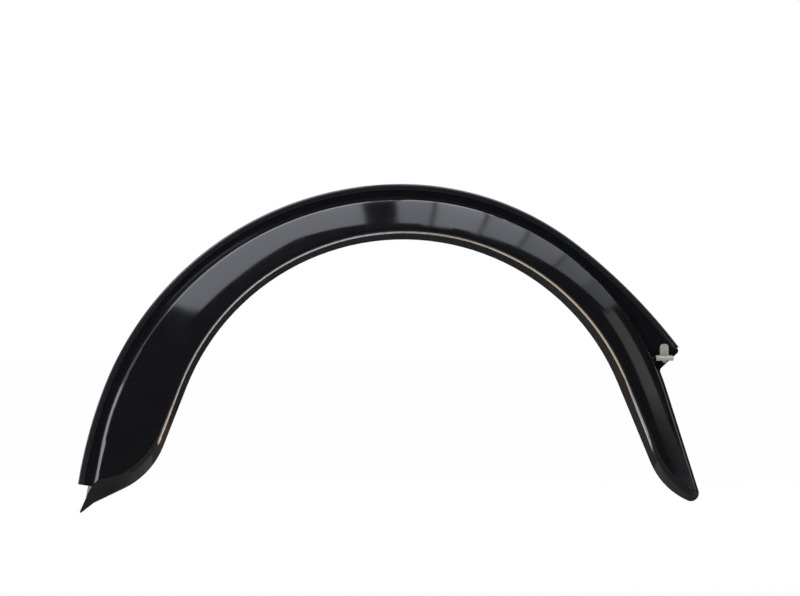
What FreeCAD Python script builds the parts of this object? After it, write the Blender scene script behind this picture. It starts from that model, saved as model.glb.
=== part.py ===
"""Wheel arch flare: a hollow moulding round a car's wheel opening, with its edge seal and corner clip.

Frame: X runs along the car, Z is up, and the outer side of the flare faces -Y. The origin is the centre of
the wheel opening, in the plane of the car's body side at Y = 0. Depth is the distance in front of that plane,
so a depth d is Y = -d. The wide leg is at -X, and the narrow leg with its corner ear is at +X.
Sizes are in millimetres and angles in degrees, from +X towards +Z.
"""

import FreeCAD
import Part

import math
import os

from FreeCAD import Vector

# Wheel opening, and the flare's width around it at the top and on each side
opening_radius = 350.0
crown_width = 83.5
narrow_width = 78.5
wide_width = 132.5
edge_centre_x = -3.0

# Narrow leg: the lip leaves the opening in a straight run and sweeps out to a rounded tip
narrow_leg_angle = 17.6
narrow_end_angle = 22.5
narrow_run = 130.0
narrow_sweep_radius = 108.0
narrow_sweep_heading = -24.0

# Wide leg: the lip leaves the opening in a straight run and sweeps out to a toe; angles are from -X. The heel is
# the leg's end face, whose slope falls from the sweep to the toe: depth gained per length up the leg
wide_leg_angle = 11.0
wide_end_angle = 21.5
wide_run = 95.0
wide_sweep_radius = 118.0
wide_sweep_heading = 25.5
heel_inner_slope = 1.18
heel_outer_slope = -0.33
heel_reach = 42.0
toe_root = 16.0
toe_heading = 38.0
toe_length = 29.0
toe_height = 14.0
toe_round = 1.5

# Depths in front of the body side
rear_depth = 2.0
crest_depth = 52.0
narrow_crest_depth = 45.0
wide_crest_depth = 43.0
crease_depth = 20.0
narrow_crease_depth = 16.0
wide_crease_depth = 20.0

# Wall of the moulding, its draft and the bulge of its crown as a share of the crown's width
wall = 3.0
edge_round = 7.0
lip_draft = 13.0
crown_draft = 22.0
narrow_draft = 15.0
wide_draft = 38.0
run_taper = 0.36
sweep_taper = 0.5
crown_bulge = 0.06
crown_start = -18.0
crown_end = 198.0
crown_steps = 12

# Flange along the outer edge, which the seal grips, and the ear at its lower end on the narrow side
flange_width = 14.0
narrow_flange_width = 8.5
wide_flange_width = 8.5
flange_thickness = 2.5
wide_bow_angle = 21.0
wide_bow_radius = 707.0
wide_bow_length = 148.0
ear_angle = 52.0
ear_height = 183.5
ear_reach = 45.7
ear_drop = 29.5
ear_round = 5.0
notch_radius = 6.0

# Ledge across the ear, with a clearance hole for an upright screw
ledge_drop = 10.8
ledge_thickness = 4.0
ledge_depth = 16.0
ledge_round = 1.2
ledge_hole = 6.0
ledge_hole_depth = 10.2

# Screw bosses behind the crown, in pairs either side of the wheel centre, each on a rib across the channel:
# the angle of each pair and its distance out from the wheel opening
boss_places = [(0.0, 62.0), (45.0, 35.0), (78.0, 35.0)]
boss_diameter = 12.0
pilot_diameter = 4.0
pilot_length = 16.0
rib_thickness = 2.2
rib_setback = 8.0

# Edge seal: a round bead with two lips over the flange
seal_reach = 3.0
seal_width = 9.0
bead_diameter = 7.0
lip_thickness = 1.3
seal_clearance = 0.1
seal_setback = 6.0

# Spring clip folded round the ledge, with a tab up the ear
clip_thickness = 1.0
clip_width = 25.5
clip_inset = 0.5
clip_gap = 2.4
clip_return = 5.5
clip_bend = 0.8
clip_clearance = 0.1
tab_width = 13.0
tab_height = 20.0
tab_round = 5.0
barrel_diameter = 7.0
barrel_length = 3.0
thread_diameter = 4.2

# Overruns of the forming solids; the heel's ends are shares of the way from the sweep to the toe's corner
blank_front = crest_depth + 6
cutter_front = blank_front + 25
crown_overrun = 14.0
cavity_overrun = 6.0
heel_overrun = 15.0
heel_inner_share = -0.3
heel_outer_share = 1.25
wall_overlap = 30.0

arch_height = opening_radius + crown_width
narrow_edge_radius = opening_radius + narrow_width - edge_centre_x
wide_edge_radius = opening_radius + wide_width + edge_centre_x
wide_centre = Vector(edge_centre_x, arch_height - wide_edge_radius, 0)
narrow_centre = Vector(edge_centre_x, arch_height - narrow_edge_radius, 0)
wide_bow_start = 180 - wide_bow_angle
wide_bow_end = wide_bow_start + math.degrees(wide_bow_length / wide_bow_radius)
flange_front = rear_depth + flange_thickness


def at(x, z, depth):
    """The point at x and z that lies depth in front of the body side."""
    return Vector(x, -depth, z)


def direction(degrees):
    """Unit vector in the side view, with x along +X and y along +Z."""
    return Vector(math.cos(math.radians(degrees)), math.sin(math.radians(degrees)), 0)


def arc_edge(centre, start, end, turn, depth):
    """Arc about centre from start to end, anticlockwise in the side view if turn is +1, clockwise if -1."""
    first = math.atan2(start.y - centre.y, start.x - centre.x)
    last = math.atan2(end.y - centre.y, end.x - centre.x)
    sweep = (last - first) * turn % (2 * math.pi) * turn
    middle = centre + direction(math.degrees(first + sweep / 2)) * (start - centre).Length
    points = [at(p.x, p.y, depth) for p in (start, middle, end)]
    return Part.Arc(*points).toShape()


def line_edge(start, end, depth):
    """Straight edge from start to end."""
    return Part.LineSegment(at(start.x, start.y, depth), at(end.x, end.y, depth)).toShape()


def corner_arc(before, corner, after, radius):
    """Arc that rounds the corner between two straight runs, in any plane."""
    back = (before - corner).normalize()
    ahead = (after - corner).normalize()
    half = back.getAngle(ahead) / 2
    bisector = (back + ahead).normalize()
    middle = corner + bisector * (radius / math.sin(half) - radius)
    tangent = radius / math.tan(half)
    return Part.Arc(corner + back * tangent, middle, corner + ahead * tangent).toShape()


def rounded_face(corners):
    """Flat face from (point, radius) pairs; a radius of 0 leaves that corner sharp."""
    count = len(corners)
    runs = []
    for i, (point, radius) in enumerate(corners):
        if radius > 0:
            arc = corner_arc(corners[i - 1][0], point, corners[(i + 1) % count][0], radius)
            runs.append((arc.firstVertex().Point, arc, arc.lastVertex().Point))
        else:
            runs.append((point, None, point))
    edges = []
    for i, (start, arc, _) in enumerate(runs):
        edges.append(Part.LineSegment(runs[i - 1][2], start).toShape())
        if arc:
            edges.append(arc)
    return Part.Face(Part.Wire(edges))


def plate(edges, thickness):
    """Flat plate from a closed chain of edges, thickened towards the front."""
    return Part.Face(Part.Wire(edges)).extrude(Vector(0, -thickness, 0))


def post(x, z, diameter, rear, front):
    """Round post between two depths."""
    return Part.makeCylinder(diameter / 2, front - rear, at(x, z, rear), Vector(0, -1, 0))


def turned(vector):
    """Vector a quarter turn anticlockwise in the side view."""
    return Vector(-vector.y, vector.x, 0)


def lip_leg(depth, inset, angle, run, sweep_radius, heading, turn):
    """The lip down one leg at one depth: start and end of its straight run, then the sweep's centre and end.

    Turn is +1 where the sweep bends to the left of the way down the leg and -1 where it bends to the right.
    """
    rise = depth - rear_depth
    outwards = direction(angle)
    start = outwards * (opening_radius + inset + rise * math.tan(math.radians(lip_draft)))
    run_end = start - turned(outwards) * turn * (run - rise * run_taper)
    radius = sweep_radius - inset - rise * sweep_taper
    centre = run_end + outwards * radius
    return start, run_end, centre, centre - turned(direction(heading)) * turn * radius


def outer_wall(edge_radius, flange_reach, draft, depth, inset):
    """Centre and radius of the channel's outer wall on one side at one depth."""
    rise = depth - rear_depth
    radius = edge_radius - seal_reach - flange_reach - inset - rise * math.tan(math.radians(draft))
    top = arch_height - seal_reach - flange_width - inset - rise * math.tan(math.radians(crown_draft))
    return Vector(edge_centre_x, top - radius, 0), radius


def wide_wall(depth, inset):
    """Centre and radius of the outer wall on the wide side at one depth."""
    return outer_wall(wide_edge_radius, wide_flange_width, wide_draft, depth, inset)


def narrow_wall(depth, inset):
    """Centre and radius of the outer wall on the narrow side at one depth."""
    return outer_wall(narrow_edge_radius, narrow_flange_width, narrow_draft, depth, inset)


def wide_foot(depth, inset):
    """Lower end of the wide leg at one depth: the lip's four points, the toe's corner and the wall's bend."""
    lip = lip_leg(depth, inset, 180 - wide_end_angle, wide_run, wide_sweep_radius, 180 + wide_sweep_heading, -1)
    centre, radius = wide_wall(depth, inset)
    outwards = direction(180 - wide_leg_angle)
    bend = centre + outwards * radius
    heading = direction(180 + wide_sweep_heading)
    return *lip, lip[3] + heading * ((bend - lip[3]).dot(outwards) / heading.dot(outwards)), bend


def narrow_foot(depth, inset):
    """Lower end of the narrow leg at one depth: the lip's four points, the tip's centre and the outer edge."""
    lip = lip_leg(depth, inset, narrow_end_angle, narrow_run, narrow_sweep_radius, narrow_sweep_heading, 1)
    centre, radius = narrow_wall(depth, inset)
    outwards = direction(narrow_leg_angle)
    leg_top = centre + outwards * radius
    upwards = turned(direction(narrow_sweep_heading))
    tip_radius = (leg_top - lip[3]).dot(outwards) / (1 + upwards.dot(outwards))
    tip_centre = lip[3] + upwards * tip_radius
    return *lip, tip_centre, tip_centre + outwards * tip_radius, leg_top


def outline(depth, inset):
    """Closed outline of the flare's channel at one depth, drawn in by inset all round."""
    lip_start, narrow_end, narrow_sweep, tip_end, tip_centre, leg_foot, leg_top = narrow_foot(depth, inset)
    lip_end, wide_end, wide_sweep, sweep_end, toe_corner, wide_bend = wide_foot(depth, inset)
    narrow_middle, radius = narrow_wall(depth, inset)
    wide_middle = wide_wall(depth, inset)[0]
    top = Vector(edge_centre_x, narrow_middle.y + radius, 0)
    return Part.Wire(
        [
            arc_edge(narrow_middle, top, leg_top, -1, depth),
            line_edge(leg_top, leg_foot, depth),
            arc_edge(tip_centre, leg_foot, tip_end, -1, depth),
            arc_edge(narrow_sweep, tip_end, narrow_end, -1, depth),
            line_edge(narrow_end, lip_start, depth),
            arc_edge(Vector(0, 0, 0), lip_start, lip_end, 1, depth),
            line_edge(lip_end, wide_end, depth),
            arc_edge(wide_sweep, wide_end, sweep_end, -1, depth),
            line_edge(sweep_end, toe_corner, depth),
            line_edge(toe_corner, wide_bend, depth),
            arc_edge(wide_middle, wide_bend, top, -1, depth),
        ]
    )


def outer_distance(angle, depth):
    """Distance from the wheel centre to the channel's outer wall along an angle at one depth."""
    ray = direction(angle)
    centre, radius = narrow_wall(depth, 0) if angle < 90 else wide_wall(depth, 0)
    bend = max(narrow_leg_angle, min(angle, 180 - wide_leg_angle))
    if bend != angle:
        outwards = direction(bend)
        return (radius + centre.dot(outwards)) / ray.dot(outwards)
    along = centre.dot(ray)
    return along + math.sqrt(along**2 - centre.dot(centre) + radius**2)


def along_arch(angle, narrow, crown, wide):
    """Size that is crown at the top and passes smoothly to narrow and wide level with the wheel centre."""
    leg = narrow if angle < 90 else wide
    return crown + (leg - crown) * ((angle - 90) / 90) ** 2


def crown_section(angle, drop):
    """Closed profile of the space in front of the crown, in the radial plane at an angle."""
    ray = direction(angle)
    crest = along_arch(angle, narrow_crest_depth, crest_depth, wide_crest_depth)
    crease = along_arch(angle, narrow_crease_depth, crease_depth, wide_crease_depth)
    outer_r = outer_distance(angle, crease)
    inner_r = opening_radius + (crest - rear_depth) * math.tan(math.radians(lip_draft))
    chord = math.hypot(outer_r - inner_r, crest - crease)
    tilt = math.atan2(crest - crease, outer_r - inner_r)
    sagitta = crown_bulge * chord
    radius = chord**2 / (8 * sagitta) + sagitta / 2
    centre_r = (outer_r + inner_r) / 2 - (radius - sagitta) * math.sin(tilt)
    centre_d = (crest + crease) / 2 - (radius - sagitta) * math.cos(tilt)
    half = math.asin(chord / 2 / radius) + crown_overrun / radius

    def point(r, depth):
        return at(ray.x * r, ray.y * r, depth)

    arc = []
    for swing in (-half, 0, half):
        along_r = math.sin(tilt - swing) * (radius - drop)
        along_d = math.cos(tilt - swing) * (radius - drop)
        arc.append((centre_r + along_r, centre_d + along_d))
    low_front = (arc[2][0], cutter_front)
    high_front = (arc[0][0], cutter_front)
    corners = [point(*p) for p in (arc[2], low_front, high_front, arc[0])]
    edges = [Part.Arc(*[point(*p) for p in arc]).toShape()]
    edges += [Part.LineSegment(*pair).toShape() for pair in zip(corners, corners[1:])]
    return Part.Wire(edges)


def heel(inset):
    """Space in front of the wide leg's end, which flattens from the sweep to the toe, drawn in by inset."""
    foot = wide_foot(rear_depth, inset)
    inwards = direction(90 + wide_sweep_heading)
    slopes = (heel_inner_slope, heel_outer_slope)
    drops = [inset * (math.hypot(1, slope) - slope) for slope in slopes]

    def section(share):
        base = foot[3] + (foot[4] - foot[3]) * share
        low = base - inwards * heel_overrun
        high = base + inwards * heel_reach
        slope = slopes[0] + (slopes[1] - slopes[0]) * share
        depth = flange_front - drops[0] - (drops[1] - drops[0]) * share
        corners = [
            at(low.x, low.y, depth - slope * heel_overrun),
            at(high.x, high.y, depth + slope * heel_reach),
            at(high.x, high.y, cutter_front),
            at(low.x, low.y, cutter_front),
        ]
        return Part.makePolygon([*corners, corners[0]])

    return Part.makeLoft([section(heel_inner_share), section(heel_outer_share)], True, True)


def channel(inset, rear):
    """Solid form of the channel: the drafted outline with a rounded crown, drawn in by inset all over."""
    blank = Part.makeLoft([outline(rear, inset), outline(blank_front, inset)], True, True)
    angles = [crown_start + step * (crown_end - crown_start) / crown_steps for step in range(crown_steps + 1)]
    front = Part.makeLoft([crown_section(angle, inset) for angle in angles], True)
    form = blank.cut(front).Solids[0]
    rounded = [edge for edge in form.Edges if min(-v.Y for v in edge.Vertexes) > rear_depth + 1]
    return form.makeFillet(edge_round - inset, rounded).cut(heel(inset))


def wall_foot(height):
    """Where the foot of the narrow side's outer wall lies along X at one height."""
    centre, radius = narrow_wall(rear_depth, 0)
    return centre.x + math.sqrt(radius**2 - (height - centre.y) ** 2)


def ear_arc():
    """Centre, radius and end angle of the ear's outer edge, which leaves the narrow edge smoothly."""
    outwards = direction(ear_angle)
    bend = narrow_centre + outwards * narrow_edge_radius
    corner = Vector(wall_foot(ear_height) + ear_reach, ear_height, 0)
    chord = corner - bend
    radius = -chord.dot(chord) / (2 * chord.dot(outwards))
    centre = bend - outwards * radius
    return centre, radius, math.degrees(math.atan2(corner.y - centre.y, corner.x - centre.x))


def ear_edge(inset):
    """Centre and ends of the ear's outer edge, drawn in by inset."""
    centre, radius, end_angle = ear_arc()
    return centre, *[centre + direction(angle) * (radius - inset) for angle in (ear_angle, end_angle)]


def wide_edge(inset):
    """Centre and ends of the flatter outer edge at the foot of the wide leg, drawn in by inset."""
    centre = wide_centre + direction(wide_bow_start) * (wide_edge_radius - wide_bow_radius)
    radius = wide_bow_radius - inset
    return centre, centre + direction(wide_bow_start) * radius, centre + direction(wide_bow_end) * radius


def notch():
    """Where the ear's lower edge meets the foot of the channel's outer wall."""
    height = ear_height - ear_drop
    return Vector(wall_foot(height), height, 0)


def flange():
    """Flat flange along the outer edge, widened to an ear above the narrow leg."""
    bow_centre, wide_bend, wide_end = wide_edge(seal_reach)
    top = Vector(edge_centre_x, arch_height - seal_reach, 0)
    ear_centre, bend, corner = ear_edge(seal_reach)
    middle_radius = (opening_radius + narrow_wall(rear_depth, 0)[1]) / 2
    inner_start = notch().normalize() * middle_radius
    inner_end = direction(wide_bow_start) * middle_radius
    inner_foot = wide_end - direction(wide_bow_end) * wall_overlap
    leg_top = narrow_foot(rear_depth, 0)[-1]
    spots = [at(v.x, v.y, rear_depth) for v in (corner, notch(), leg_top)]
    relief = corner_arc(*spots, notch_radius)
    relief_start = relief.firstVertex().Point
    relief_end = relief.lastVertex().Point
    edges = [
        arc_edge(bow_centre, wide_end, wide_bend, -1, rear_depth),
        arc_edge(wide_centre, wide_bend, top, -1, rear_depth),
        arc_edge(narrow_centre, top, bend, -1, rear_depth),
        arc_edge(ear_centre, bend, corner, -1, rear_depth),
        Part.LineSegment(spots[0], relief_start).toShape(),
        relief,
        Part.LineSegment(relief_end, at(inner_start.x, inner_start.y, rear_depth)).toShape(),
        arc_edge(Vector(0, 0, 0), inner_start, inner_end, 1, rear_depth),
        line_edge(inner_end, inner_foot, rear_depth),
        line_edge(inner_foot, wide_end, rear_depth),
    ]
    sheet = plate(edges, flange_thickness)
    tip = [edge for edge in sheet.Edges if all(abs(v.X - corner.x) + abs(v.Z - corner.y) < 1 for v in edge.Vertexes)]
    return sheet.makeFillet(ear_round, tip)


def ledge_span():
    """Height of the ledge's top face, and its two ends: at the channel and just past the clip."""
    top = ear_height - ledge_drop
    start = wall_foot(top)
    return top, start, start + clip_gap + clip_width + clip_inset


def ledge():
    """Shelf that stands forward from the ear and runs into the channel's outer wall."""
    top, start, end = ledge_span()
    low = top - ledge_thickness
    section = rounded_face(
        [
            (at(start - wall_overlap, low, rear_depth), 0),
            (at(start - wall_overlap, low, ledge_depth), ledge_round),
            (at(start - wall_overlap, top, ledge_depth), ledge_round),
            (at(start - wall_overlap, top, rear_depth), 0),
        ]
    )
    shelf = section.extrude(Vector(end - start + wall_overlap, 0, 0))
    hole_x = end - clip_inset - clip_width / 2
    return shelf.cut(Part.makeCylinder(ledge_hole / 2, ledge_thickness, at(hole_x, low, ledge_hole_depth)))


def toe():
    """Thin tail that carries the wide leg's lower edge on past its corner and down."""
    corner = wide_foot(rear_depth, 0)[4]
    root = corner - direction(180 + wide_sweep_heading) * toe_root
    point = root + direction(180 + toe_heading) * toe_length
    shoulder = corner + direction(90 - wide_leg_angle) * toe_height
    corners = [(root, 0), (point, toe_round), (shoulder, 0)]
    face = rounded_face([(at(p.x, p.y, rear_depth), radius) for p, radius in corners])
    return face.extrude(Vector(0, -flange_thickness, 0))


def boss_centres():
    """Side-view places of the six bosses."""
    right = [direction(angle) * (opening_radius + reach) for angle, reach in boss_places]
    return [Vector(side * place.x, place.y, 0) for place in right for side in (-1, 1)]


def rib(place):
    """Rib across the channel through a boss, square to the channel's run."""
    angle = math.degrees(math.atan2(place.y, place.x))
    length = wide_edge_radius - opening_radius
    block = Part.makeBox(length, crest_depth - rib_setback, rib_thickness)
    block.translate(at(opening_radius, -rib_thickness / 2, crest_depth))
    block.rotate(Vector(0, 0, 0), Vector(0, -1, 0), angle)
    return block


def moulding():
    """The flare itself: channel, flange, ear, ledge and toe in one wall, with ribs and bosses behind."""
    body = channel(0, rear_depth).fuse([flange(), ledge(), toe()])
    inside = []
    pads = []
    for place in boss_centres():
        inside += [post(place.x, place.y, boss_diameter, 0, crest_depth), rib(place)]
        pads.append(post(place.x, place.y, boss_diameter, 0, flange_front))
    hollow = channel(wall, rear_depth - cavity_overrun).cut(inside)
    body = body.cut(hollow).fuse(pads)
    pilots = [post(p.x, p.y, pilot_diameter, -1, pilot_length) for p in boss_centres()]
    return body.cut(pilots).removeSplitter()


def seal():
    """Edge seal: its section follows the outer edge from the foot of the wide leg to the ear."""
    bead = bead_diameter / 2
    slot_rear = rear_depth - seal_clearance
    slot_front = flange_front + seal_clearance
    slot_root = seal_reach - seal_clearance
    lip_front = slot_front + lip_thickness
    lip_start = bead + math.sqrt(bead**2 - (lip_front - bead) ** 2)
    swing = math.atan2(lip_front - bead, lip_start - bead)
    half_way = (swing + 1.5 * math.pi) / 2
    far_side = (bead + bead * math.cos(half_way), bead + bead * math.sin(half_way))
    corners = [
        (lip_start, lip_front),
        (seal_width, lip_front),
        (seal_width, slot_front),
        (slot_root, slot_front),
        (slot_root, slot_rear),
        (seal_width, slot_rear),
        (seal_width, 0),
        (bead, 0),
    ]

    def section(centre, radius, angle):
        ray = direction(angle)

        def point(inset, depth):
            place = centre + ray * (radius - inset)
            return at(place.x, place.y, depth)

        edges = [Part.Arc(point(*corners[-1]), point(*far_side), point(*corners[0])).toShape()]
        edges += [Part.LineSegment(point(*a), point(*b)).toShape() for a, b in zip(corners, corners[1:])]
        return Part.Face(Part.Wire(edges))

    def run(centre, radius, start, end):
        profile = section(centre, radius, start)
        return profile.revolve(at(centre.x, centre.y, 0), Vector(0, -1, 0), end - start)

    ear_centre, ear_radius, ear_end = ear_arc()
    ear = run(ear_centre, ear_radius, ear_end + math.degrees(seal_setback / ear_radius), ear_angle)
    narrow = run(narrow_centre, narrow_edge_radius, ear_angle, 90)
    wide = run(wide_centre, wide_edge_radius, 90, wide_bow_start)
    foot = run(wide_edge(0)[0], wide_bow_radius, wide_bow_start, wide_bow_end)
    return ear.fuse([narrow, wide, foot]).removeSplitter()


def clip():
    """Spring-steel clip folded round the ledge, with a tab up the ear and a threaded barrel below."""
    top, _, end = ledge_span()
    right = end - clip_inset
    left = right - clip_width
    middle = (left + right) / 2
    back = flange_front + clip_clearance
    front = ledge_depth + clip_clearance
    upper = top + clip_clearance
    lower = top - ledge_thickness - clip_clearance
    t = clip_thickness
    outer_bend = clip_bend + t
    profile = [
        (back, top + tab_height, 0),
        (back, upper, outer_bend),
        (front, upper, clip_bend),
        (front, lower, clip_bend),
        (clip_return, lower, 0),
        (clip_return, lower - t, 0),
        (front + t, lower - t, outer_bend),
        (front + t, upper + t, outer_bend),
        (back + t, upper + t, clip_bend),
        (back + t, top + tab_height, 0),
    ]
    strip = rounded_face([(at(left, z, d), radius) for d, z, radius in profile])
    strip = strip.extrude(Vector(clip_width, 0, 0))
    neck = upper + outer_bend + t
    tab_left = middle - tab_width / 2
    tab_right = middle + tab_width / 2
    blank = [
        (left, lower - t, 0),
        (right, lower - t, 0),
        (right, neck, t),
        (tab_right, neck, t),
        (tab_right, top + tab_height, tab_round),
        (tab_left, top + tab_height, tab_round),
        (tab_left, neck, t),
        (left, neck, t),
    ]
    blank = rounded_face([(at(x, z, 0), radius) for x, z, radius in blank])
    folded = strip.common(blank.extrude(Vector(0, -cutter_front, 0)))
    foot = at(middle, lower - t - barrel_length, ledge_hole_depth)
    barrel = Part.makeCylinder(barrel_diameter / 2, t + barrel_length, foot)
    thread = Part.makeCylinder(thread_diameter / 2, t + barrel_length, foot)
    way_in = Part.makeCylinder(ledge_hole / 2, t, at(middle, upper, ledge_hole_depth))
    return folded.fuse(barrel).cut([thread, way_in]).removeSplitter()


os.makedirs("parts", exist_ok=True)
moulding().exportStep("parts/arch_moulding.step")
seal().exportStep("parts/edge_seal.step")
clip().exportStep("parts/corner_clip.step")
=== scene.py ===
"""Looks of the wheel arch flare: a glossy black moulding with a rubber edge seal and a zinc-plated clip.

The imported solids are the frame. Each class below dresses one sub-assembly of the flare, and the studio
around it gives the long soft reflections that a polished black moulding shows.
"""

import logging
import math
from dataclasses import dataclass, field
from enum import Enum
from typing import Any

import bpy
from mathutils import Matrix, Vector

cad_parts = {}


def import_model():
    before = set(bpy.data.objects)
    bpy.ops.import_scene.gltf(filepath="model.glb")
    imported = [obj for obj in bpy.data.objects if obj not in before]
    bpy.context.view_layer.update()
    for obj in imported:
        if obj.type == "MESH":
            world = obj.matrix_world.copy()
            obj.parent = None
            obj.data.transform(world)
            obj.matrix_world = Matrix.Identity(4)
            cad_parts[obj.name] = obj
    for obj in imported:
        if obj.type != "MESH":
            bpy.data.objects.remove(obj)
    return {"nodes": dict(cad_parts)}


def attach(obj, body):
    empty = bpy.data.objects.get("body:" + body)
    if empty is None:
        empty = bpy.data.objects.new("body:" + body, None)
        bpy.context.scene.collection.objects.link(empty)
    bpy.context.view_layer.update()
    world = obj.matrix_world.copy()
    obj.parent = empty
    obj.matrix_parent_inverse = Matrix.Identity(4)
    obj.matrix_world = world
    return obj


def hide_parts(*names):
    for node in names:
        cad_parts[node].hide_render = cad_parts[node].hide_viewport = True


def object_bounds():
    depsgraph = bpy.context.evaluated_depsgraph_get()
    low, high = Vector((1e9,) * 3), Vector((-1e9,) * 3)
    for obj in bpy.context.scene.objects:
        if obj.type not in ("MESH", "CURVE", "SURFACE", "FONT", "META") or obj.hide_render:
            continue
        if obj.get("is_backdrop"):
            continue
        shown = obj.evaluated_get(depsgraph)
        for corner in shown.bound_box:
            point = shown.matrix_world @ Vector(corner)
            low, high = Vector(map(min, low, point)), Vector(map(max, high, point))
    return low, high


LOG = logging.getLogger("flare")
MILLIMETRE = 0.001
CREASE_ANGLE = 35.0

Colour = tuple[float, float, float, float]


def linear(code: str) -> Colour:
    """Turns an sRGB hex colour into linear light.

    Args:
        code: The colour as six hex digits with a leading hash.

    Returns:
        Red, green and blue in linear light, and an alpha of 1.
    """
    channels = [int(code[i:i + 2], 16) / 255 for i in (1, 3, 5)]
    light = [c / 12.92 if c <= 0.04045 else ((c + 0.055) / 1.055) ** 2.4 for c in channels]
    return (light[0], light[1], light[2], 1.0)


def per_metre(size_mm: float) -> float:
    """Gives the texture scale at which one period of a pattern measures size_mm on the object."""
    return 1 / (size_mm * MILLIMETRE)


def add_node(
    tree: bpy.types.NodeTree, kind: str, settings: dict[str, Any] | None = None, **inputs: Any
) -> Any:
    """Adds one node, sets its properties, and fills or links its inputs.

    Args:
        tree: The tree that the node goes into.
        kind: Blender's name for the kind of node.
        settings: Properties of the node itself.
        inputs: Values or output sockets by input name, with underscores for spaces; i0, i1 and so on are
            inputs by number.

    Returns:
        The new node.
    """
    made = tree.nodes.new(kind)
    for name, value in (settings or {}).items():
        setattr(made, name, value)
    for name, value in inputs.items():
        place = int(name[1:]) if name[0] == "i" and name[1:].isdigit() else name.replace("_", " ")
        if isinstance(value, bpy.types.NodeSocket):
            tree.links.new(value, made.inputs[place])
        else:
            made.inputs[place].default_value = value
    return made


def empty_material(name: str) -> tuple[bpy.types.Material, bpy.types.NodeTree]:
    """Makes a material with an empty node tree.

    Args:
        name: The material's name.

    Returns:
        The material and its node tree.
    """
    material = bpy.data.materials.new(name)
    material.use_nodes = True
    material.node_tree.nodes.clear()
    return material, material.node_tree


@dataclass(frozen=True)
class PolishedAbs:
    """Black ABS from a polished mould: deep black, mirror-like at a glance, faintly wavy where it shrank."""

    name: str = "polished_black_abs"
    colour: str = "#0d0d0f"
    bloom: str = "#141416"
    bloom_size_mm: float = 35.0
    ior: float = 1.54
    roughness: float = 0.10
    roughness_spread: float = 0.3
    sink_size_mm: float = 70.0
    sink_depth_mm: float = 0.05

    def material(self) -> bpy.types.Material:
        """Builds the finish's nodes.

        Returns:
            The material.
        """
        material, tree = empty_material(self.name)
        coords = add_node(tree, "ShaderNodeTexCoord").outputs["Object"]
        cloud = add_node(tree, "ShaderNodeTexNoise", Vector=coords, Scale=per_metre(self.bloom_size_mm),
                         Detail=4.0)
        tint = add_node(tree, "ShaderNodeMix", {"data_type": "RGBA"}, i0=cloud.outputs["Fac"],
                        i6=linear(self.colour), i7=linear(self.bloom))
        rough = add_node(tree, "ShaderNodeMapRange", Value=cloud.outputs["Fac"],
                         To_Min=self.roughness * (1 - self.roughness_spread),
                         To_Max=self.roughness * (1 + self.roughness_spread))
        sink = add_node(tree, "ShaderNodeTexNoise", Vector=coords, Scale=per_metre(self.sink_size_mm),
                        Detail=1.0)
        bump = add_node(tree, "ShaderNodeBump", Height=sink.outputs["Fac"],
                        Distance=self.sink_depth_mm * MILLIMETRE, Strength=1.0)
        shader = add_node(tree, "ShaderNodeBsdfPrincipled", Base_Color=tint.outputs[2], IOR=self.ior,
                          Roughness=rough.outputs["Result"], Normal=bump.outputs["Normal"])
        add_node(tree, "ShaderNodeOutputMaterial", Surface=shader.outputs["BSDF"])
        return material


@dataclass(frozen=True)
class ExtrudedRubber:
    """Black EPDM from an extrusion die: dark, with a soft sheen along its bead."""

    name: str = "extruded_black_rubber"
    colour: str = "#141518"
    worn: str = "#202226"
    # The die's own grain is far finer than a pixel, so it is drawn as coarse as it needs to show.
    grain_mm: float = 1.2
    ior: float = 1.6
    roughness: float = 0.24

    def material(self) -> bpy.types.Material:
        """Builds the finish's nodes.

        Returns:
            The material.
        """
        material, tree = empty_material(self.name)
        coords = add_node(tree, "ShaderNodeTexCoord").outputs["Object"]
        grain = add_node(tree, "ShaderNodeTexNoise", Vector=coords, Scale=per_metre(self.grain_mm),
                         Detail=2.0)
        tint = add_node(tree, "ShaderNodeMix", {"data_type": "RGBA"}, i0=grain.outputs["Fac"],
                        i6=linear(self.colour), i7=linear(self.worn))
        shader = add_node(tree, "ShaderNodeBsdfPrincipled", Base_Color=tint.outputs[2], IOR=self.ior,
                          Roughness=self.roughness)
        add_node(tree, "ShaderNodeOutputMaterial", Surface=shader.outputs["BSDF"])
        return material


@dataclass(frozen=True)
class ZincPlatedSteel:
    """Spring steel under a milky chromated zinc plate: pale grey with a green cast, and satin."""

    name: str = "zinc_plated_spring_steel"
    colour: str = "#bdbdb1"
    clouded: str = "#a2a697"
    cloud_mm: float = 3.0
    metallic: float = 0.4
    roughness: float = 0.5

    def material(self) -> bpy.types.Material:
        """Builds the finish's nodes.

        Returns:
            The material.
        """
        material, tree = empty_material(self.name)
        coords = add_node(tree, "ShaderNodeTexCoord").outputs["Object"]
        cloud = add_node(tree, "ShaderNodeTexNoise", Vector=coords, Scale=per_metre(self.cloud_mm),
                         Detail=3.0)
        tint = add_node(tree, "ShaderNodeMix", {"data_type": "RGBA"}, i0=cloud.outputs["Fac"],
                        i6=linear(self.colour), i7=linear(self.clouded))
        shader = add_node(tree, "ShaderNodeBsdfPrincipled", Base_Color=tint.outputs[2],
                          Metallic=self.metallic, Roughness=self.roughness)
        add_node(tree, "ShaderNodeOutputMaterial", Surface=shader.outputs["BSDF"])
        return material


class Node(Enum):
    """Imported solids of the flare."""

    MOULDING = "arch_moulding"
    SEAL = "edge_seal"
    CLIP = "corner_clip"


class Slot(Enum):
    """The record's material slots."""

    RUBBER = "black_rubber"
    STEEL = "zinc_steel"


def dress(node: bpy.types.Object, material: bpy.types.Material) -> None:
    """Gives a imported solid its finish."""
    node.data.materials.clear()
    node.data.materials.append(material)


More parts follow.
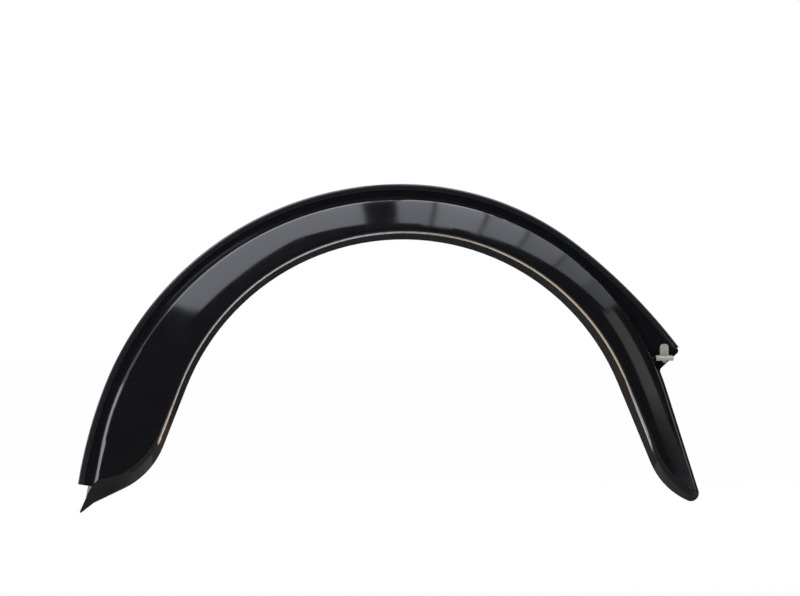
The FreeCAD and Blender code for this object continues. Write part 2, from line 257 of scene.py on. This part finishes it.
def new_tree(name: str, sizes: dict[str, tuple[str, Any]]) -> tuple[bpy.types.NodeTree, Any, dict[str, str]]:
    """Starts a geometry tree with named inputs.

    Args:
        name: The tree's name.
        sizes: The socket type and the value of each input, by name.

    Returns:
        The tree, its input node, and the identifier of each input.
    """
    tree = bpy.data.node_groups.new(name, "GeometryNodeTree")
    tree.interface.new_socket("Geometry", in_out="INPUT", socket_type="NodeSocketGeometry")
    tree.interface.new_socket("Geometry", in_out="OUTPUT", socket_type="NodeSocketGeometry")
    keys = {}
    for label, (kind, _) in sizes.items():
        keys[label] = tree.interface.new_socket(label, in_out="INPUT", socket_type=kind).identifier
    return tree, tree.nodes.new("NodeGroupInput"), keys


def end_tree(
    tree: bpy.types.NodeTree, geometry: bpy.types.NodeSocket, material: bpy.types.NodeSocket
) -> None:
    """Ends a geometry tree: realizes its instances, sets the material and joins the output.

    Args:
        tree: The tree to end.
        geometry: The socket with the finished geometry.
        material: The socket with the material.
    """
    real = add_node(tree, "GeometryNodeRealizeInstances", Geometry=geometry)
    painted = add_node(tree, "GeometryNodeSetMaterial", Geometry=real.outputs[0], Material=material)
    add_node(tree, "NodeGroupOutput", Geometry=painted.outputs[0])


def grown(
    name: str, base: bpy.types.Mesh, tree: bpy.types.NodeTree, values: dict[str, Any]
) -> bpy.types.Object:
    """Runs a geometry tree on a mesh and keeps what it makes as a plain mesh.

    Args:
        name: The new piece's name.
        base: The mesh that the tree starts from.
        tree: The geometry tree.
        values: The value of each input, by the socket's identifier.

    Returns:
        The new piece, at the origin and without a modifier.
    """
    piece = bpy.data.objects.new(name, base)
    bpy.context.scene.collection.objects.link(piece)
    modifier = piece.modifiers.new(tree.name, "NODES")
    modifier.node_group = tree
    for key, value in values.items():
        modifier[key] = value
    made = bpy.data.meshes.new_from_object(piece.evaluated_get(bpy.context.evaluated_depsgraph_get()))
    piece.modifiers.remove(modifier)
    piece.data = made
    made.name = name
    made.shade_smooth()
    made.set_sharp_from_angle(angle=math.radians(CREASE_ANGLE))
    return piece


@dataclass
class ArchMoulding:
    """The flare's hollow moulding, shown as it is packed."""

    finish: PolishedAbs = field(default_factory=PolishedAbs)

    def dress(self, nodes: dict[str, bpy.types.Object]) -> bpy.types.Object:
        """Gives the moulding its finish.

        Args:
            nodes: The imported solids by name.

        Returns:
            The moulding.
        """
        node = nodes[Node.MOULDING.value]
        dress(node, self.finish.material())
        return node


@dataclass(frozen=True)
class Run:
    """One arc of the flare's outer edge in the side view, in millimetres and degrees from +X towards +Z."""

    name: str
    centre: tuple[float, float]
    radius: float
    start: float
    end: float


@dataclass
class EdgeSeal:
    """The rubber seal: one section that follows the outer edge from the ear to the wide leg's foot.

    Sizes are in millimetres. Angles are in degrees from +X towards +Z.
    """

    edge_centre_x: float = -3.0
    arch_height: float = 433.5
    narrow_radius: float = 431.5
    wide_radius: float = 479.5
    bow_start: float = 159.0
    bow_radius: float = 707.0
    bow_length: float = 148.0
    ear_start: float = 52.0
    ear_corner: tuple[float, float] = (418.773, 183.5)
    setback: float = 6.0
    bead: float = 7.0
    width: float = 9.0
    lip: float = 1.3
    slot_root: float = 2.9
    slot_rear: float = 1.9
    slot_front: float = 4.6
    bead_steps: int = 18
    run_steps: int = 96
    join_gap: float = 0.01
    finish: ExtrudedRubber = field(default_factory=ExtrudedRubber)

    def runs(self) -> list[Run]:
        """Works out the arcs of the edge, each of which leaves the one before smoothly.

        Returns:
            Four arcs, from the ear over the top to the wide leg's foot.
        """
        narrow = (self.edge_centre_x, self.arch_height - self.narrow_radius)
        wide = (self.edge_centre_x, self.arch_height - self.wide_radius)
        lean = math.radians(self.ear_start)
        out = (math.cos(lean), math.sin(lean))
        chord = [self.ear_corner[i] - narrow[i] - out[i] * self.narrow_radius for i in range(2)]
        ear_radius = -(chord[0] ** 2 + chord[1] ** 2) / (2 * (chord[0] * out[0] + chord[1] * out[1]))
        ear = tuple(narrow[i] + out[i] * (self.narrow_radius - ear_radius) for i in range(2))
        corner_turn = math.atan2(self.ear_corner[1] - ear[1], self.ear_corner[0] - ear[0])
        ear_end = corner_turn + self.setback / ear_radius
        bow = math.radians(self.bow_start)
        step = self.wide_radius - self.bow_radius
        foot = (wide[0] + math.cos(bow) * step, wide[1] + math.sin(bow) * step)
        bow_end = self.bow_start + math.degrees(self.bow_length / self.bow_radius)
        return [
            Run("Ear", ear, ear_radius, math.degrees(ear_end), self.ear_start),
            Run("Narrow", narrow, self.narrow_radius, self.ear_start, 90.0),
            Run("Wide", wide, self.wide_radius, 90.0, self.bow_start),
            Run("Foot", foot, self.bow_radius, self.bow_start, bow_end),
        ]

    def section(self) -> bpy.types.Mesh:
        """Draws the seal's section as a closed line: along X its depth, along Y its place from the edge.

        Returns:
            The section as a mesh of edges, in metres.
        """
        middle = self.bead / 2
        lip_front = self.slot_front + self.lip
        lip_start = middle + math.sqrt(middle**2 - (lip_front - middle) ** 2)
        bead_start = 1.5 * math.pi
        bead_end = math.atan2(lip_front - middle, lip_start - middle)
        corners = [
            (self.width, lip_front),
            (self.width, self.slot_front),
            (self.slot_root, self.slot_front),
            (self.slot_root, self.slot_rear),
            (self.width, self.slot_rear),
            (self.width, 0.0),
        ]
        for i in range(self.bead_steps + 1):
            turn = bead_start + (bead_end - bead_start) * i / self.bead_steps
            corners.append((middle + middle * math.cos(turn), middle + middle * math.sin(turn)))
        points = [(depth * MILLIMETRE, inset * MILLIMETRE, 0.0) for inset, depth in corners]
        count = len(points)
        mesh = bpy.data.meshes.new("seal_section")
        mesh.from_pydata(points, [(i, (i + 1) % count) for i in range(count)], [])
        return mesh

    def build(self) -> bpy.types.Object:
        """Sweeps the section along the edge.

        Returns:
            The seal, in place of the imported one.
        """
        sizes: dict[str, tuple[str, Any]] = {
            "Steps": ("NodeSocketInt", self.run_steps),
            "Material": ("NodeSocketMaterial", self.finish.material()),
        }
        for run in self.runs():
            centre = (run.centre[0] * MILLIMETRE, 0.0, run.centre[1] * MILLIMETRE)
            sizes[f"{run.name} Centre"] = ("NodeSocketVector", centre)
            sizes[f"{run.name} Radius"] = ("NodeSocketFloat", run.radius * MILLIMETRE)
            sizes[f"{run.name} Start"] = ("NodeSocketFloat", math.radians(run.start))
            sizes[f"{run.name} Sweep"] = ("NodeSocketFloat", math.radians(run.end - run.start))
        tree, given, keys = new_tree("seal_sweep", sizes)
        path = tree.nodes.new("GeometryNodeJoinGeometry")
        for run in self.runs():
            arc = add_node(tree, "GeometryNodeCurveArc", {"mode": "RADIUS"},
                           Resolution=given.outputs["Steps"],
                           Radius=given.outputs[f"{run.name} Radius"],
                           Start_Angle=given.outputs[f"{run.name} Start"],
                           Sweep_Angle=given.outputs[f"{run.name} Sweep"])
            upright = add_node(tree, "GeometryNodeTransform", Geometry=arc.outputs["Curve"],
                               Translation=given.outputs[f"{run.name} Centre"],
                               Rotation=(math.pi / 2, 0.0, 0.0))
            tree.links.new(upright.outputs[0], path.inputs[0])
        line = add_node(tree, "GeometryNodeCurveToMesh", Curve=path.outputs[0])
        joined = add_node(tree, "GeometryNodeMergeByDistance", Geometry=line.outputs[0],
                          Distance=self.join_gap * MILLIMETRE)
        whole = add_node(tree, "GeometryNodeMeshToCurve", Mesh=joined.outputs[0])
        level = add_node(tree, "GeometryNodeSetCurveNormal", {"mode": "FREE"}, Curve=whole.outputs[0],
                         Normal=(0.0, -1.0, 0.0))
        profile = add_node(tree, "GeometryNodeMeshToCurve", Mesh=given.outputs["Geometry"])
        swept = add_node(tree, "GeometryNodeCurveToMesh", Curve=level.outputs[0],
                         Profile_Curve=profile.outputs[0], Fill_Caps=True)
        end_tree(tree, swept.outputs[0], given.outputs["Material"])
        seal = grown("swept_edge_seal", self.section(), tree,
                     {keys[label]: value for label, (_, value) in sizes.items()})
        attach(seal, "root")
        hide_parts(Node.SEAL.value)
        return seal


@dataclass
class CornerClip:
    """The folded spring clip at the ear, with the thread in its barrel. Sizes are in millimetres."""

    thread_foot: tuple[float, float, float] = (393.403, -10.2, 164.6)
    thread_length: float = 4.0
    thread_radius: float = 2.1
    pitch: float = 0.7
    ridge: float = 0.26
    ridge_sides: int = 6
    turn_steps: int = 40
    finish: ZincPlatedSteel = field(default_factory=ZincPlatedSteel)

    def dress(self, nodes: dict[str, bpy.types.Object]) -> bpy.types.Object:
        """Gives the clip its finish.

        Args:
            nodes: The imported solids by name.

        Returns:
            The clip.
        """
        node = nodes[Node.CLIP.value]
        dress(node, self.finish.material())
        return node

    def thread(self) -> bpy.types.Object:
        """Winds the thread's ridge round the inside of the barrel.

        Returns:
            The ridge.
        """
        height = self.thread_length - 2 * self.ridge
        foot = tuple(value * MILLIMETRE for value in self.thread_foot)
        sizes: dict[str, tuple[str, Any]] = {
            "Foot": ("NodeSocketVector", (foot[0], foot[1], foot[2] + self.ridge * MILLIMETRE)),
            "Height": ("NodeSocketFloat", height * MILLIMETRE),
            "Radius": ("NodeSocketFloat", self.thread_radius * MILLIMETRE),
            "Turns": ("NodeSocketFloat", height / self.pitch),
            "Ridge": ("NodeSocketFloat", self.ridge * MILLIMETRE),
            "Steps": ("NodeSocketInt", self.turn_steps),
            "Material": ("NodeSocketMaterial", self.finish.material()),
        }
        tree, given, keys = new_tree("thread_ridge", sizes)
        helix = add_node(tree, "GeometryNodeCurveSpiral", Resolution=given.outputs["Steps"],
                         Rotations=given.outputs["Turns"], Start_Radius=given.outputs["Radius"],
                         End_Radius=given.outputs["Radius"], Height=given.outputs["Height"])
        placed = add_node(tree, "GeometryNodeTransform", Geometry=helix.outputs[0],
                          Translation=given.outputs["Foot"])
        profile = add_node(tree, "GeometryNodeCurvePrimitiveCircle", {"mode": "RADIUS"},
                           Resolution=self.ridge_sides, Radius=given.outputs["Ridge"])
        wound = add_node(tree, "GeometryNodeCurveToMesh", Curve=placed.outputs[0],
                         Profile_Curve=profile.outputs[0], Fill_Caps=True)
        end_tree(tree, wound.outputs[0], given.outputs["Material"])
        ridge = grown("clip_thread_ridge", bpy.data.meshes.new("thread_start"), tree,
                      {keys[label]: value for label, (_, value) in sizes.items()})
        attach(ridge, "root")
        return ridge


class Placing(Enum):
    """Where a softbox stands round the flare."""

    OVERHEAD_WIDE = "overhead_wide"
    OVERHEAD_NARROW = "overhead_narrow"
    NARROW_SIDE = "narrow_side"
    WIDE_SIDE = "wide_side"
    UNDER_ARCH = "under_arch"


@dataclass
class Softbox:
    """A flat soft lamp: its middle, the point it faces, its size in metres and how bright its cloth is."""

    placing: Placing
    middle: tuple[float, float, float]
    faces: tuple[float, float, float]
    width: float
    height: float
    brightness: float
    colour: str = "#ffffff"

    def build(self) -> bpy.types.Object:
        """Makes the lamp.

        Returns:
            The lamp's object.
        """
        lamp = bpy.data.lights.new(self.placing.value, "AREA")
        lamp.shape = "RECTANGLE"
        lamp.size = self.width
        lamp.size_y = self.height
        # An evenly bright cloth sends out pi times its brightness from each square metre.
        lamp.energy = self.brightness * math.pi * self.width * self.height
        lamp.color = linear(self.colour)[:3]
        holder = bpy.data.objects.new(self.placing.value, lamp)
        holder.location = self.middle
        look = Vector(self.faces) - Vector(self.middle)
        holder.rotation_mode = "QUATERNION"
        holder.rotation_quaternion = look.to_track_quat("-Z", "Y")
        holder.visible_camera = False
        bpy.context.scene.collection.objects.link(holder)
        return holder


@dataclass
class Flag:
    """A dark cloth that shows only in reflections, where it keeps polished black from looking grey."""

    name: str
    points: list[tuple[float, float, float]]
    faces: list[tuple[int, ...]]
    colour: str = "#0c0c0d"

    def build(self) -> bpy.types.Object:
        """Hangs the cloth.

        Returns:
            The cloth's object.
        """
        mesh = bpy.data.meshes.new(self.name)
        mesh.from_pydata(self.points, [], self.faces)
        material, tree = empty_material(f"{self.name}_velvet")
        pile = add_node(tree, "ShaderNodeBsdfDiffuse", Color=linear(self.colour))
        add_node(tree, "ShaderNodeOutputMaterial", Surface=pile.outputs[0])
        mesh.materials.append(material)
        cloth = bpy.data.objects.new(self.name, mesh)
        cloth.visible_camera = False
        cloth.visible_diffuse = False
        cloth.visible_shadow = False
        cloth.visible_transmission = False
        bpy.context.scene.collection.objects.link(cloth)
        cloth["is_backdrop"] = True
        return cloth


def half_tent(radius: float, floor: float, reach: tuple[float, float], steps: int) -> Flag:
    """Shapes a half dome that stands round the camera and stays open behind the flare.

    Args:
        radius: The dome's radius in metres.
        floor: The height of its rim.
        reach: How far it reaches round on the wide and the narrow side, in degrees from the camera's side.
        steps: How many facets it has along each way.

    Returns:
        The dome as a dark cloth.
    """
    points = []
    for i in range(steps + 1):
        rise = math.radians(90 * i / steps)
        for j in range(steps + 1):
            turn = math.radians(reach[0] + (reach[1] - reach[0]) * j / steps)
            ring = radius * math.cos(rise)
            points.append((ring * math.sin(turn), -ring * math.cos(turn), floor + radius * math.sin(rise)))
    row = steps + 1
    faces = [(i * row + j, i * row + j + 1, (i + 1) * row + j + 1, (i + 1) * row + j)
             for i in range(steps) for j in range(steps)]
    return Flag("half_tent", points, faces)


def level_flag(
    name: str, low: tuple[float, float], high: tuple[float, float], height: float, colour: str
) -> Flag:
    """Lays a flat cloth between two corners at one height.

    Args:
        name: The cloth's name.
        low: The corner with the least X and Y, in metres.
        high: The corner with the most X and Y.
        height: The height that it lies at.
        colour: Its colour as a hex code.

    Returns:
        The cloth.
    """
    points = [(x, y, height) for x, y in (low, (high[0], low[1]), high, (low[0], high[1]))]
    return Flag(name, points, [(0, 1, 2, 3)], colour)


def upright_flag(
    name: str, along: tuple[float, float], back: float, rise: tuple[float, float], colour: str
) -> Flag:
    """Hangs a flat cloth behind the flare that faces the camera.

    Args:
        name: The cloth's name.
        along: Where it starts and ends along X, in metres.
        back: How far behind the flare it hangs.
        rise: The heights of its lower and upper edge.
        colour: Its colour as a hex code.

    Returns:
        The cloth.
    """
    corners = ((along[0], rise[0]), (along[1], rise[0]), (along[1], rise[1]), (along[0], rise[1]))
    points = [(x, back, z) for x, z in corners]
    return Flag(name, points, [(0, 1, 2, 3)], colour)


@dataclass
class Studio:
    """Pale floor, white surround, dark cloths and softboxes."""

    floor_height: float
    floor_reach: float = 9.0
    white_share: float = 0.97
    white: str = "#ffffff"
    paper: str = "#f4f4f4"
    fill: str = "#cfcfcf"
    softboxes: list[Softbox] = field(default_factory=list)
    flags: list[Flag] = field(default_factory=list)

    def white_rays(self, tree: bpy.types.NodeTree) -> bpy.types.NodeSocket:
        """Adds the test for rays that see the background: the camera's own, and those in gloss and glass.

        Args:
            tree: The tree that the test goes into.

        Returns:
            The socket that gives 1 for such a ray and 0 for any other.
        """
        path = add_node(tree, "ShaderNodeLightPath")
        glossy = add_node(tree, "ShaderNodeMath", {"operation": "MAXIMUM"}, i0=path.outputs["Is Camera Ray"],
                          i1=path.outputs["Is Glossy Ray"])
        every = add_node(tree, "ShaderNodeMath", {"operation": "MAXIMUM"}, i0=glossy.outputs[0],
                         i1=path.outputs["Is Transmission Ray"])
        return every.outputs[0]

    def floor(self) -> bpy.types.Object:
        """Lays the floor under the flare.

        Returns:
            The floor's object.
        """
        reach = self.floor_reach
        mesh = bpy.data.meshes.new("floor")
        corners = ((-reach, -reach), (reach, -reach), (reach, reach), (-reach, reach))
        mesh.from_pydata([(x, y, self.floor_height) for x, y in corners], [], [(0, 1, 2, 3)])
        floor = bpy.data.objects.new("floor", mesh)
        bpy.context.scene.collection.objects.link(floor)
        material, tree = empty_material("white_paper")
        paper = add_node(tree, "ShaderNodeBsdfDiffuse", Color=linear(self.paper))
        glow = add_node(tree, "ShaderNodeEmission", Color=linear(self.white), Strength=1.0)
        share = add_node(tree, "ShaderNodeMath", {"operation": "MULTIPLY"}, i0=self.white_rays(tree),
                         i1=self.white_share)
        mixed = add_node(tree, "ShaderNodeMixShader", i0=share.outputs[0], i1=paper.outputs[0],
                         i2=glow.outputs[0])
        add_node(tree, "ShaderNodeOutputMaterial", Surface=mixed.outputs[0])
        mesh.materials.append(material)
        floor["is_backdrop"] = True
        return floor

    def surround(self) -> None:
        """Makes the world: white to the camera, gloss and glass, and a plain grey light to all else."""
        world = bpy.data.worlds.new("surround")
        bpy.context.scene.world = world
        world.use_nodes = True
        tree = world.node_tree
        tree.nodes.clear()
        grey = add_node(tree, "ShaderNodeBackground", Color=linear(self.fill), Strength=1.0)
        white = add_node(tree, "ShaderNodeBackground", Color=linear(self.white), Strength=1.0)
        mixed = add_node(tree, "ShaderNodeMixShader", i0=self.white_rays(tree), i1=grey.outputs[0],
                         i2=white.outputs[0])
        add_node(tree, "ShaderNodeOutputWorld", Surface=mixed.outputs[0])

    def build(self) -> None:
        """Lays the floor, makes the surround and sets up the softboxes and cloths."""
        self.floor()
        self.surround()
        for softbox in self.softboxes:
            softbox.build()
        for flag in self.flags:
            flag.build()


@dataclass
class Viewpoint:
    """Camera at the photograph's angle: nearly square on, a little to the wide leg's side."""

    azimuth: float = -3.0
    elevation: float = 1.0
    distance: float = 12.0
    aim: tuple[float, float, float] = (-0.006, -0.025, 0.2625)
    picture_width_mm: float = 1200.0
    sensor_width_mm: float = 36.0
    far_limit: float = 100.0

    def build(self) -> bpy.types.Object:
        """Makes the camera and sets it as the scene's own.

        Returns:
            The camera's object.
        """
        data = bpy.data.cameras.new("camera")
        data.sensor_fit = "HORIZONTAL"
        data.sensor_width = self.sensor_width_mm
        data.lens = self.sensor_width_mm * self.distance / (self.picture_width_mm * MILLIMETRE)
        data.clip_end = self.far_limit
        camera = bpy.data.objects.new("camera", data)
        turn, rise = math.radians(self.azimuth), math.radians(self.elevation)
        level = math.cos(rise)
        back = Vector((math.sin(turn) * level, -math.cos(turn) * level, math.sin(rise)))
        camera.location = Vector(self.aim) + back * self.distance
        camera.rotation_mode = "QUATERNION"
        camera.rotation_quaternion = (-back).to_track_quat("-Z", "Y")
        bpy.context.scene.collection.objects.link(camera)
        bpy.context.scene.camera = camera
        return camera


def softboxes(floor: float) -> list[Softbox]:
    """Lists the studio's lamps; those over the narrow side and beside it dim towards the leg's tip.

    Args:
        floor: The floor's height in metres.

    Returns:
        The lamps.
    """
    sky = "#f0f5ff"
    overhead = 1.25
    ground = floor + 0.004
    lamps = [
        Softbox(Placing.OVERHEAD_WIDE, middle=(-0.82, -0.75, overhead), faces=(-0.82, -0.75, 0.0),
                width=1.36, height=2.40, brightness=2.9, colour=sky),
        Softbox(Placing.WIDE_SIDE, middle=(-2.2, 0.42, 0.40), faces=(0.0, 0.42, 0.40),
                width=1.10, height=0.90, brightness=2.6, colour="#f4f6f8"),
        Softbox(Placing.UNDER_ARCH, middle=(-0.09, 0.02, ground), faces=(-0.09, 0.02, 1.0),
                width=0.21, height=0.46, brightness=6.4, colour="#ffe8d0"),
        Softbox(Placing.UNDER_ARCH, middle=(0.11, 0.02, ground), faces=(0.11, 0.02, 1.0),
                width=0.18, height=0.46, brightness=6.0, colour="#e6eef0"),
    ]
    panels = [
        (0.02, 0.19, 2.5), (0.21, 0.46, 2.9), (0.48, 0.72, 2.5),
        (0.74, 1.02, 2.0), (1.04, 1.36, 1.5), (1.37, 1.76, 1.0),
    ]
    panel_y = -0.12
    for start, end, brightness in panels:
        x = (start + end) / 2
        lamps.append(Softbox(Placing.OVERHEAD_NARROW, middle=(x, panel_y, overhead), faces=(x, panel_y, 0.0),
                             width=end - start, height=1.10, brightness=brightness, colour=sky))
    strips = [
        (0.23, 0.29, 0.12), (0.29, 0.35, 0.24), (0.35, 0.41, 0.40), (0.41, 0.47, 0.57), (0.47, 1.23, 0.75),
    ]
    strip_x, strip_y = 1.78, -0.62
    for low, high, brightness in strips:
        z = (low + high) / 2
        lamps.append(Softbox(Placing.NARROW_SIDE, middle=(strip_x, strip_y, z), faces=(0.0, strip_y, z),
                             width=0.60, height=high - low, brightness=brightness))
    return lamps


def flags(floor: float) -> list[Flag]:
    """Lists the studio's dark cloths.

    Args:
        floor: The floor's height in metres.

    Returns:
        The cloths.
    """
    tent = 4.0
    ground = floor + 0.002
    near, rear, back = -0.60, 0.15, 0.70
    mask_height = 1.2
    mask = [(x, y, mask_height) for x, y in ((0.0, -0.62), (-0.50, -0.62), (-1.90, -2.20), (0.0, -2.20))]
    return [
        half_tent(radius=tent, floor=floor, reach=(-86.0, 100.0), steps=16),
        Flag("overhead_mask", mask, [(0, 1, 2, 3)]),
        level_flag("front_cloth", low=(-tent, -tent), high=(tent, near), height=ground, colour="#0c0c0d"),
        # Painted shade: in reflections this grey-olive cloth stands in for the floor under the flare,
        # darkened as the flare's shadow would darken it.
        level_flag("shaded_floor_cloth", low=(-tent, near), high=(tent, rear), height=ground, colour="#6d6d63"),
        level_flag("rear_cloth", low=(-1.2, rear), high=(1.5, back), height=ground, colour="#463f38"),
        upright_flag("back_cloth", along=(-0.55, 1.50), back=back, rise=(floor, 0.85), colour="#262626"),
    ]


def main() -> None:
    """Dresses the flare and lights it."""
    logging.basicConfig(level=logging.INFO, format="%(message)s")
    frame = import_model()
    low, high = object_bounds()
    bpy.context.scene.view_settings.view_transform = "Standard"
    nodes = frame["nodes"]
    clip = CornerClip()
    for piece in (ArchMoulding().dress(nodes), EdgeSeal().build(), clip.dress(nodes), clip.thread()):
        LOG.info("%s: %d faces in %s", piece.name, len(piece.data.polygons), piece.data.materials[0].name)
    Studio(floor_height=low.z, softboxes=softboxes(low.z), flags=flags(low.z)).build()
    Viewpoint().build()


if __name__ == "__main__":
    main()
